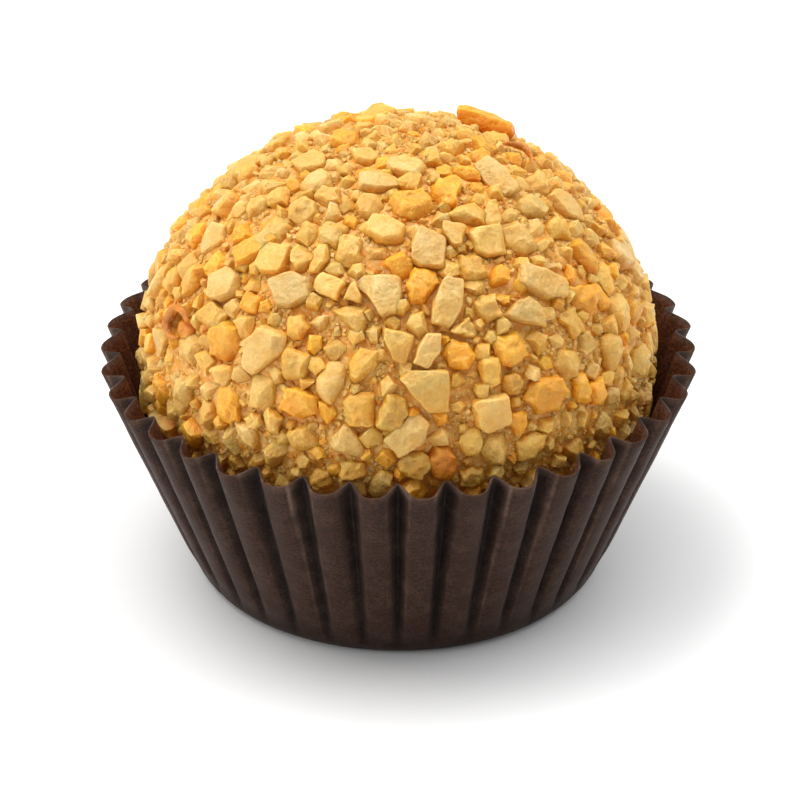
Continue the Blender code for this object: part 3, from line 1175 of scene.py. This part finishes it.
CHUNK_NUTS = (
    Placed(Outline.WEDGE, -13, 35, 2.5, 2.0, -10, Tone.BUTTER, 0.1),
    Placed(Outline.SHIELD, -8.5, 24.5, 2.1, 2.5, 0, Tone.STRAW, 0.2),
    Placed(Outline.SLAB, -15.5, 20.5, 2.7, 1.8, 75, Tone.IVORY, 0.2),
    Placed(Outline.ROUND, -56, 17, 2.5, 2.0, 0, Tone.BUTTER, 0.1),
    Placed(Outline.BLOCK, -32, 15, 2.0, 2.6, 0, Tone.BUTTER, 0.1),
    Placed(Outline.ROUND, 43, 18, 2.9, 2.3, -10, Tone.BUTTER, 0.1),
    Placed(Outline.BLOCK, 58, 15, 2.0, 2.9, 0, Tone.BUTTER, 0.1),
    Placed(Outline.SHIELD, 67, 21, 2.3, 2.7, 0, Tone.BUTTER, 0.1),
    Placed(Outline.ROUND, 47.5, 48.5, 2.8, 2.7, 0, Tone.BUTTER, 0.2),
    Placed(Outline.ROUND, 65, 53, 2.5, 2.3, 0, Tone.BUTTER, 0.2),
    Placed(Outline.WEDGE, 32, 58.5, 2.9, 2.1, -10, Tone.BUTTER, 0.2),
    Placed(Outline.SLAB, 43, 55.5, 2.3, 1.4, 60, Tone.BUTTER, 0.2),
    Placed(Outline.ROUND, -55, 66, 2.4, 2.3, 0, Tone.IVORY, 0.2),
    Placed(Outline.ROUND, -15, 63.5, 2.3, 2.1, 0, Tone.BUTTER, 0.1),
    Placed(Outline.TRIANGLE, -11.5, 8, 2.6, 2.2, 0, Tone.IVORY, 0.2),
    Placed(Outline.BLOCK, -21, 7, 2.2, 1.9, 20, Tone.BUTTER),
    Placed(Outline.SHIELD, -27, 2, 1.8, 2.3, 0, Tone.BUTTER),
    Placed(Outline.KITE, -34, 4.5, 1.8, 2.0, 20, Tone.IVORY),
    Placed(Outline.ROUND, 16, 7, 1.9, 1.9, 0, Tone.STRAW),
    Placed(Outline.ROUND, 21.5, 4.5, 2.4, 2.6, 0, Tone.BUTTER),
    Placed(Outline.SLAB, -3.5, -2, 2.4, 1.5, 60, Tone.BUTTER, 0.1),
    Placed(Outline.ROUND, -16.5, -2, 1.9, 1.7, 0, Tone.STRAW, 0.1),
    Placed(Outline.ROUND, -46.5, 5, 1.4, 2.3, 0, Tone.BUTTER),
    Placed(Outline.SHIELD, 70, 7, 2.5, 2.3, 0, Tone.BUTTER, 0.2),
    Placed(Outline.ROUND, -73, 30, 1.9, 1.9, 0, Tone.BUTTER),
    Placed(Outline.ROUND, 82, 54, 2.3, 1.9, 0, Tone.BUTTER, 0.1),
    Placed(Outline.ROUND, -68, 52, 2.1, 1.9, 0, Tone.BUTTER),
)

BROKEN_NUTS = (
    Placed(Outline.SHIELD, 7.5, 42.5, 2.3, 2.8, 0, Tone.GOLD, 0.1),
    Placed(Outline.ROUND, 15, 26.5, 2.4, 2.1, 0, Tone.GOLD, 0.1),
    Placed(Outline.WEDGE, 17, 31.5, 1.9, 1.6, 0, Tone.BUTTER),
    Placed(Outline.BLOCK, -8.5, 15, 2.2, 2.4, 0, Tone.STRAW),
    Placed(Outline.SLAB, -1, 14.8, 2.7, 2.2, 70, Tone.STRAW, 0.1),
    Placed(Outline.BLOCK, 24.5, 45.5, 1.9, 2.3, 0, Tone.STRAW),
    Placed(Outline.BLOCK, 25, 35.5, 1.7, 2.0, 0, Tone.BUTTER),
    Placed(Outline.SLAB, -26.5, 47, 2.2, 1.2, 80, Tone.BUTTER),
    Placed(Outline.BLOCK, -18, 50.5, 1.8, 2.1, 0, Tone.BUTTER),
    Placed(Outline.KITE, -33, 46, 2.1, 2.0, 0, Tone.BUTTER, 0.1),
    Placed(Outline.BLOCK, -42, 32.5, 1.6, 1.4, 0, Tone.GOLD, 0.1),
    Placed(Outline.ROUND, -46, 22.5, 2.9, 2.7, 0, Tone.GOLD, 0.1),
    Placed(Outline.SLAB, -53, 26, 2.9, 1.9, 0, Tone.STRAW),
    Placed(Outline.SLAB, -22, 14.5, 3.1, 2.1, 0, Tone.GOLD, 0.1),
    Placed(Outline.BLOCK, -40, 9.5, 2.0, 2.4, 0, Tone.GOLD, 0.1),
    Placed(Outline.WEDGE, -44, 15.5, 2.1, 1.6, 0, Tone.BUTTER),
    Placed(Outline.BLOCK, -25, 22.5, 2.1, 2.1, 0, Tone.STRAW),
    Placed(Outline.ROUND, -32.5, 8.5, 1.2, 1.2, 0, Tone.BUTTER, 0.1),
    Placed(Outline.KITE, -27.5, 9.5, 1.4, 1.7, 0, Tone.BUTTER, 0.1),
    Placed(Outline.SLAB, -55, 6, 3.0, 1.7, 80, Tone.BUTTER),
    Placed(Outline.ROUND, -65, 3, 1.9, 2.3, 0, Tone.GOLD),
    Placed(Outline.SLAB, -67, 29, 2.8, 1.5, 75, Tone.STRAW),
    Placed(Outline.WEDGE, 57.5, 29.5, 3.3, 2.9, 180, Tone.GOLD, 0.2),
    Placed(Outline.ROUND, 35, 13.5, 3.3, 2.8, 0, Tone.GOLD, 0.2),
    Placed(Outline.BLOCK, 28.5, 25.5, 2.4, 2.4, 0, Tone.GOLD),
    Placed(Outline.SLAB, 45, 12, 2.1, 1.6, 90, Tone.GOLD, 0.1),
    Placed(Outline.BLOCK, 48, 26, 1.7, 2.0, 0, Tone.STRAW),
    Placed(Outline.SLAB, 66, 36.5, 2.9, 2.2, 80, Tone.GOLD, 0.1),
    Placed(Outline.BLOCK, 50, 9, 1.8, 1.8, 0, Tone.GOLD),
    Placed(Outline.BLOCK, 22, 21.5, 1.7, 2.1, 0, Tone.STRAW),
    Placed(Outline.ROUND, 27, 18, 1.7, 1.6, 0, Tone.STRAW),
    Placed(Outline.BLOCK, 7, 64.5, 2.8, 2.7, 0, Tone.GOLD, 0.1),
    Placed(Outline.SHIELD, 32, 67, 2.5, 2.7, 0, Tone.GOLD, 0.2),
    Placed(Outline.BLOCK, -27, 54, 2.0, 2.0, 0, Tone.BUTTER, 0.1),
    Placed(Outline.BLOCK, -50, 48.5, 2.0, 2.7, 0, Tone.BUTTER),
    Placed(Outline.ROUND, -45, 57, 2.4, 2.3, 0, Tone.BUTTER),
    Placed(Outline.ROUND, -108, 76, 2.6, 2.0, 0, Tone.GOLD, 0.1),
    Placed(Outline.ROUND, 3.5, 3, 2.3, 1.9, 0, Tone.STRAW),
    Placed(Outline.SLAB, 29.5, 3, 2.5, 1.9, 0, Tone.STRAW),
    Placed(Outline.KITE, 27, 9.5, 1.8, 1.9, 0, Tone.GOLD),
    Placed(Outline.ROUND, 9.5, 3, 2.0, 2.5, 0, Tone.ROAST),
    Placed(Outline.SLAB, 16, -1.5, 1.9, 1.6, 0, Tone.STRAW),
    Placed(Outline.SLAB, -9.5, 1.5, 1.9, 1.5, 0, Tone.STRAW),
    Placed(Outline.ROUND, -60, 19.5, 1.9, 1.5, 0, Tone.ROAST, -0.2),
)


CHOSEN = partial(Grade, sides=6, fineness=3)

PLACED = {
    CUT_NUTS: CHOSEN(
        "chosen_cut_nuts", Cut.PLATE, seed=19, thickness=(0.42, 0.56), lean=0.07,
        nibble=0.03, corner_points=2, ruggedness=0.05 * MM,
    ),
    CHUNK_NUTS: CHOSEN(
        "chosen_nut_chunks", Cut.CHUNK, seed=27, thickness=(0.48, 0.62), lean=0.08,
        nibble=0.05, ruggedness=0.07 * MM,
    ),
    BROKEN_NUTS: CHOSEN(
        "chosen_broken_nuts", Cut.BROKEN, seed=20, thickness=(0.45, 0.62), lean=0.10,
        nibble=0.08, ruggedness=0.12 * MM,
    ),
}

GRADES = (
    Grade(
        "large_cut_nuts", Cut.PLATE, seed=21, thickness=(0.34, 0.52), lean=0.16,
        nibble=0.035, lumps=0.02, corner_points=2, count=140, length=(2.3 * MM, 3.3 * MM),
        slimness=(0.62, 0.95), crowding=0.80, depth=(-0.15 * MM, 0.15 * MM),
        tones={Tone.IVORY: 4, Tone.BUTTER: 4, Tone.STRAW: 2, Tone.GOLD: 1},
    ),
    Grade(
        "large_broken_nuts", Cut.BROKEN, seed=22, thickness=(0.40, 0.60), lean=0.20,
        nibble=0.07, lumps=0.07, corner_points=2, count=160, length=(2.1 * MM, 2.9 * MM),
        slimness=(0.65, 1.0), crowding=0.75, depth=(-0.15 * MM, 0.15 * MM),
        tones={Tone.BUTTER: 3, Tone.STRAW: 4, Tone.GOLD: 3},
    ),
    Grade(
        "medium_nut_chunks", Cut.CHUNK, seed=23, thickness=(0.50, 0.75), lean=0.20,
        lumps=0.04, count=380, length=(1.5 * MM, 2.4 * MM), crowding=0.74,
        depth=(-0.10 * MM, 0.22 * MM),
        tones={Tone.IVORY: 3, Tone.BUTTER: 5, Tone.STRAW: 4, Tone.GOLD: 1},
    ),
    Grade(
        "medium_broken_nuts", Cut.BROKEN, seed=24, thickness=(0.55, 0.80), lean=0.22,
        lumps=0.09, count=380, length=(1.3 * MM, 2.0 * MM), slimness=(0.65, 1.0),
        crowding=0.73, depth=(-0.05 * MM, 0.28 * MM),
        tones={Tone.BUTTER: 4, Tone.STRAW: 4, Tone.GOLD: 3},
    ),
    Grade(
        "small_nuts", Cut.PEBBLE, seed=25, thickness=(0.50, 0.75), lean=0.3,
        lumps=0.10, count=600, length=(0.8 * MM, 1.4 * MM), crowding=0.74,
        depth=(0.10 * MM, 0.45 * MM),
        tones={Tone.BUTTER: 4, Tone.STRAW: 4, Tone.DOUGH: 3, Tone.GOLD: 1},
    ),
    Grade(
        "nut_crumbs", Cut.CRUMB, seed=26, thickness=(0.5, 0.9), lean=0.4,
        lumps=0.20, count=9400, length=(0.26 * MM, 0.62 * MM),
        depth=(-0.03 * MM, 0.10 * MM),
        tones={Tone.DOUGH: 6, Tone.BUTTER: 3, Tone.IVORY: 1, Tone.ROAST: 1},
    ),
)


@dataclass
class NutCoat:
    """All the chopped nuts on the ball, the placed ones first and then the largest.

    What is laid so far is kept as each nut's direction and half length. Crumbs overlap the
    edges of nuts a little and gather in patches. How high the lowest crumb lies over the
    centre is a share of the radius, and the gap over the base is in thicknesses of paper.
    """

    ball: BallForm
    case: CaseForm
    core: SweetCore
    laid: Array = field(default_factory=lambda: np.zeros((0, 3)))
    laid_reach: Array = field(default_factory=lambda: np.zeros(0))
    materials: dict[NutFinish, bpy.types.Material] = field(default_factory=dict)
    finish: NutFinish = NutFinish("chopped_nut")
    crumb_finish: NutFinish = NutFinish("fine_nut_crumb", glow=0.15, glow_depth=0.15 * MM)
    tries: int = 60
    crumb_tries: int = 5
    crumb_overlap: float = 0.15 * MM
    crumb_patch: float = 2.4 * MM
    lowest_crumb: float = -0.3
    outline_spread: float = 0.05
    placed_lift: float = 0.08 * MM
    fold_gap: float = 0.2 * MM
    base_gap: float = 1.5
    sharp: float = math.radians(34.0)
    tone_spread: float = 0.06
    warmth_spread: Colour = (0.0, 0.02, 0.07)
    # Painted light: each chip is painted paler on its side towards the lamps, up and to the left, and
    # more orange on the far side.
    painted_light_side: tuple[float, float, float] = (-0.4, 0.0, 0.9)
    painted_light_strength: Colour = (0.0, 0.08, 0.26)

    def scatter(self, grade: Grade, rng: Random) -> tuple[Array, Array]:
        """Directions and lengths of a grade's chips, clear of what is laid already.

        Candidates come evenly from the whole sphere. One is kept if it is further from
        every chip laid before it than the grade's crowding times both half lengths.
        """
        kept: list[Array] = []
        lengths: list[float] = []
        for _ in range(self.tries * grade.count):
            direction = unit(rng.normal(size=3))
            length = rng.uniform(*grade.length)
            apart = np.linalg.norm(self.laid - direction, axis=-1) * self.ball.radius
            if np.any(apart < grade.crowding * (0.5 * length + self.laid_reach)):
                continue
            self.laid = np.vstack([self.laid, direction])
            self.laid_reach = np.append(self.laid_reach, 0.5 * length)
            kept.append(direction)
            lengths.append(length)
            if len(kept) == grade.count:
                break
        return np.array(kept), np.array(lengths)

    def sprinkle(self, grade: Grade, rng: Random) -> tuple[Array, Array]:
        """Directions and lengths of crumbs, lying on one another between the larger nuts.

        Of many more candidates than crumbs, those are kept where noise gathers them most.
        """
        directions = unit(rng.normal(size=(self.crumb_tries * grade.count, 3)))
        directions = directions[directions[:, 2] > self.lowest_crumb]
        directions = directions[self.beyond(directions) > -self.crumb_overlap]
        gathered = lattice_noise(directions * self.ball.radius, self.crumb_patch, grade.seed)
        order = np.argsort(-(gathered + rng.normal(0.0, 1.0, len(gathered))))
        kept = directions[order[: grade.count]]
        return kept, rng.uniform(*grade.length, len(kept))

    def beyond(self, directions: Array, least: float = 0.0) -> Array:
        """How far directions are beyond the edge of the nearest nut of at least this reach."""
        broad = self.laid_reach > least
        laid, reach = self.laid[broad], self.laid_reach[broad]
        gaps = [
            (np.sqrt(np.maximum(2.0 - 2.0 * part @ laid.T, 0.0)) * self.ball.radius - reach).min(axis=1)
            for part in np.array_split(directions, 32)
        ]
        return np.concatenate(gaps)

    def build_placed(self, nuts: tuple[Placed, ...], grade: Grade) -> Piece:
        """Make the nuts that have their own place, as one piece.

        Returns:
            The dressed piece.
        """
        rng = np.random.default_rng(grade.seed)
        directions = toward([nut.bearing for nut in nuts], [nut.rise for nut in nuts])
        size = 0.5 * MM * np.array([(nut.across, nut.up) for nut in nuts])
        self.laid = np.vstack([self.laid, directions])
        self.laid_reach = np.append(self.laid_reach, np.sqrt(size[:, 0] * size[:, 1]))
        shape = ChipShape(grade)
        lower = np.array([nut.outline.value for nut in nuts])
        lower = lower + rng.uniform(-self.outline_spread, self.outline_spread, lower.shape)
        chips = shape.points(rng, lower)
        half_height = np.sqrt(size[:, 0] * size[:, 1]) * rng.uniform(*grade.thickness, len(nuts))
        chips = shape.rugged(chips * np.column_stack([size, half_height])[:, None, :], rng)
        spin = np.radians([nut.spin for nut in nuts])
        proud = MM * np.array([nut.proud for nut in nuts])
        sunk = half_height - 0.5 * proud - self.placed_lift
        points = self.set_down(chips, directions, spin, grade.lean, sunk, half_height, rng)
        tones = np.array([nut.tone.value for nut in nuts])
        return self.dressed(grade, shape, points, tones, rng)

    def build_grade(self, grade: Grade) -> Piece:
        """Make one grade as one piece.

        Returns:
            The dressed piece.
        """
        rng = np.random.default_rng(grade.seed)
        lay = self.scatter if grade.crowding > 0.0 else self.sprinkle
        directions, lengths = lay(grade, rng)
        count = len(directions)
        log.info("%s: %d laid of %d", grade.name, count, grade.count)
        shape = ChipShape(grade)
        chips = shape.points(rng, shape.outline(rng.uniform(*grade.slimness, count), rng))
        half_length = 0.5 * lengths
        half_height = half_length * rng.uniform(*grade.thickness, count)
        chips = chips * np.stack([half_length, half_length, half_height], axis=-1)[:, None, :]
        spin = rng.uniform(0.0, 2.0 * math.pi, count)
        lying = self.core.depth(directions) if grade.cut is Cut.CRUMB else half_height
        sunk = lying + rng.uniform(*grade.depth, count)
        points = self.set_down(chips, directions, spin, grade.lean, sunk, half_height, rng)
        odds = np.array(list(grade.tones.values()), float)
        picks = rng.choice(len(odds), count, p=odds / odds.sum())
        tones = np.array([tone.value for tone in grade.tones])[picks]
        return self.dressed(grade, shape, points, tones, rng)

    def set_down(
        self,
        chips: Array,
        directions: Array,
        spin: Array,
        lean: float,
        sunk: Array,
        half_height: Array,
        rng: Random,
    ) -> Array:
        """Turn chips about the way out, lean them a little and sink them into the ball.

        Args:
            chips: An array of chip, point and axis, in each chip's own frame.
            directions: Unit vectors from the ball's centre to the chips.
            spin: Turns about the way out, anticlockwise from level.
            lean: Spread of the tilt, in radians.
            sunk: Depths of the chips' middles under the ball's outline.
            half_height: Half of each chip's thickness.
            rng: Source of the tilts.

        Returns:
            The points in the object's frame.
        """
        out = self.ball.outward(directions)
        tilt = rng.normal(0.0, lean, (len(chips), 2))
        sideways, forward = tangents(out)
        away = unit(out + tilt[:, :1] * sideways + tilt[:, 1:] * forward)
        sideways, forward = tangents(away)
        along = np.cos(spin)[:, None] * sideways + np.sin(spin)[:, None] * forward
        axes = np.stack([along, np.cross(away, along), away], axis=1)
        centres = self.held_in(self.ball.points(directions, sunk), half_height)
        points = np.einsum("npa,nab->npb", chips, axes) + centres[:, None, :]
        lowest = points[..., 2].min(axis=1)
        points[..., 2] += np.clip(self.base_gap * self.case.paper - lowest, 0.0, None)[:, None]
        return points

    def dressed(
        self, grade: Grade, shape: ChipShape, points: Array, tones: Array, rng: Random
    ) -> Piece:
        """A piece from the chips' points, each of a slightly other tone.

        A chip has painted light: it is paler towards its upper left, the side of the lamps,
        and painted a deeper orange shade at its other end.
        """
        count = len(points)
        faces = closed_faces(len(shape.profile), shape.columns, count)
        piece = mesh_piece(grade.name, points.reshape(-1, 3), faces, self.sharp)
        colours = tones * rng.normal(1.0, self.tone_spread, (count, 1))
        colours = colours * (1.0 - rng.normal(0.0, 1.0, (count, 1)) * self.warmth_spread)
        # Painted light and shade: paler towards the lamps' side, more orange away from it, on top of the
        # profile's painted shade and highlight.
        height = points @ self.painted_light_side
        height = height - height.mean(axis=1, keepdims=True)
        height = height / np.abs(height).max(axis=1, keepdims=True)
        lit = 1.0 + height[..., None] * self.painted_light_strength
        colours = np.clip(colours[:, None, :] * shape.painted_light_factors()[None] * lit, 0.0, 0.95)
        paint(piece, "tone", colours.reshape(-1, 3))
        finish = self.crumb_finish if grade.cut in (Cut.CRUMB, Cut.PEBBLE) else self.finish
        piece.data.materials.append(self.materials[finish])
        return piece

    def held_in(self, centres: Array, half_height: Array) -> Array:
        """Centres moved towards the axis where a chip would reach the folds of the case."""
        across = np.hypot(centres[:, 0], centres[:, 1])
        room = self.case.fold_radius(centres[:, 2]) - half_height - self.fold_gap
        share = np.minimum(1.0, room / np.maximum(across, TINY))
        held = centres.copy()
        held[:, :2] *= share[:, None]
        held[:, 2] = np.maximum(held[:, 2], self.ball.foot + half_height)
        return held

    def build(self) -> list[Piece]:
        """Make the placed nuts and then every grade, from large to small."""
        for finish in (self.finish, self.crumb_finish):
            self.materials[finish] = finish.material()
        pieces = [self.build_placed(nuts, grade) for nuts, grade in PLACED.items()]
        return pieces + [self.build_grade(grade) for grade in GRADES]


@dataclass(frozen=True)
class SkinCurl:
    """A curl of brown nut skin, a flattened strip along an arc, lying on the ball.

    Bearing, rise, start and sweep are in degrees, and sizes in millimetres.
    """

    bearing: float
    rise: float
    radius: float
    stretch: float
    start: float
    sweep: float
    width: float
    height: float

    def points(self, ball: BallForm, steps: int, around: int) -> Array:
        """Rings of points along the arc, and a point to close each end.

        At share t of the way, the strip's middle lies at radius * (stretch * cos a, sin a),
        with a = start + sweep * t. Its section is an ellipse that thins to nothing at both
        ends with sqrt(sin(pi t)).

        Args:
            ball: The form that it lies on.
            steps: Number of rings.
            around: Points to a ring.

        Returns:
            One point a row.
        """
        direction = toward(self.bearing, self.rise)
        out = ball.outward(direction)
        level, forward = tangents(out)
        share = np.linspace(0.02, 0.98, steps)
        angle = np.radians(self.start + self.sweep * share)
        reach = self.radius * (1.0 + 0.10 * np.sin(3.0 * angle + self.bearing))
        spoke = self.stretch * np.cos(angle)[:, None] * level + np.sin(angle)[:, None] * forward
        middle = spoke * reach[:, None] * MM
        girth = np.sqrt(np.sin(math.pi * share))[:, None, None] * MM
        turn = np.arange(around) * 2.0 * math.pi / around
        wide = 0.5 * self.width * np.cos(turn)[None, :, None] * spoke[:, None, :]
        high = 0.5 * self.height * np.sin(turn)[None, :, None] * out
        rings = middle[:, None, :] + girth * (wide + high)
        ends = middle[[0, -1]]
        lift = ball.points(direction, (0.2 - 0.5 * self.height) * MM)
        return np.concatenate([rings.reshape(-1, 3), ends]) + lift


@dataclass(frozen=True)
class NutSkin:
    """The curls of brown skin that are left on a few of the nuts, as one piece."""

    ball: BallForm
    steps: int = 28
    around: int = 10
    curls: tuple[SkinCurl, ...] = (
        SkinCurl(-61.0, 20.3, 0.88, 1.6, 40.0, 260.0, 0.52, 0.70),
        SkinCurl(91.5, 61.5, 1.25, 1.6, -95.0, 145.0, 0.24, 0.45),
    )
    brown: Colour = linear(202, 132, 48)
    finish: NutFinish = NutFinish("brown_nut_skin", roughness=0.5, glow_depth=0.1 * MM)

    def build(self) -> Piece:
        """Make the piece from rings, a little uneven.

        A curl's rings run the other way round, so its faces are turned over.

        Returns:
            The dressed piece.
        """
        curls = [curl.points(self.ball, self.steps, self.around) for curl in self.curls]
        closed = closed_faces(self.steps, self.around, len(curls))
        faces = [np.roll(group[:, ::-1], 1, axis=1) for group in closed]
        points = np.concatenate(curls)
        waves = [lattice_noise(points, 0.45 * MM, 41 + axis) for axis in range(3)]
        points = points + 0.06 * MM * np.stack(waves, axis=-1)
        piece = mesh_piece("brown_nut_skin", points, faces)
        mottle = 1.0 + 0.25 * lattice_noise(points, 0.5 * MM, 31)
        paint(piece, "tone", np.clip(np.array(self.brown) * mottle[:, None], 0.0, 1.0))
        piece.data.materials.append(self.finish.material())
        return piece


def settle(piece: Piece, node: str) -> None:
    """Let a piece ride on the object in place of a CAD node, which it hides."""
    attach(piece, "root")
    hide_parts(node)
    piece.data.calc_loop_triangles()
    log.info("%s: %d triangles", piece.name, len(piece.data.loop_triangles))


def main() -> None:
    """Build the sweet, its nuts, its case and the studio round them."""
    logging.basicConfig(level=logging.INFO, format="%(name)s: %(message)s")
    low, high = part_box(BALL_NODE)
    case = CaseForm()
    nuts_under_top = 0.05 * MM
    nuts_under_foot = 0.15 * MM
    ball = BallForm(rise=high.z - BallForm.centre - nuts_under_top, foot=low.z - nuts_under_foot)
    settle(PaperCase(case).build(), CASE_NODE)
    core = SweetCore(ball)
    coat = NutCoat(ball, case, core)
    for piece in coat.build():
        settle(piece, BALL_NODE)
    settle(core.build(coat), BALL_NODE)
    settle(NutSkin(ball).build(), BALL_NODE)
    Studio().build()


if __name__ == "__main__":
    main()
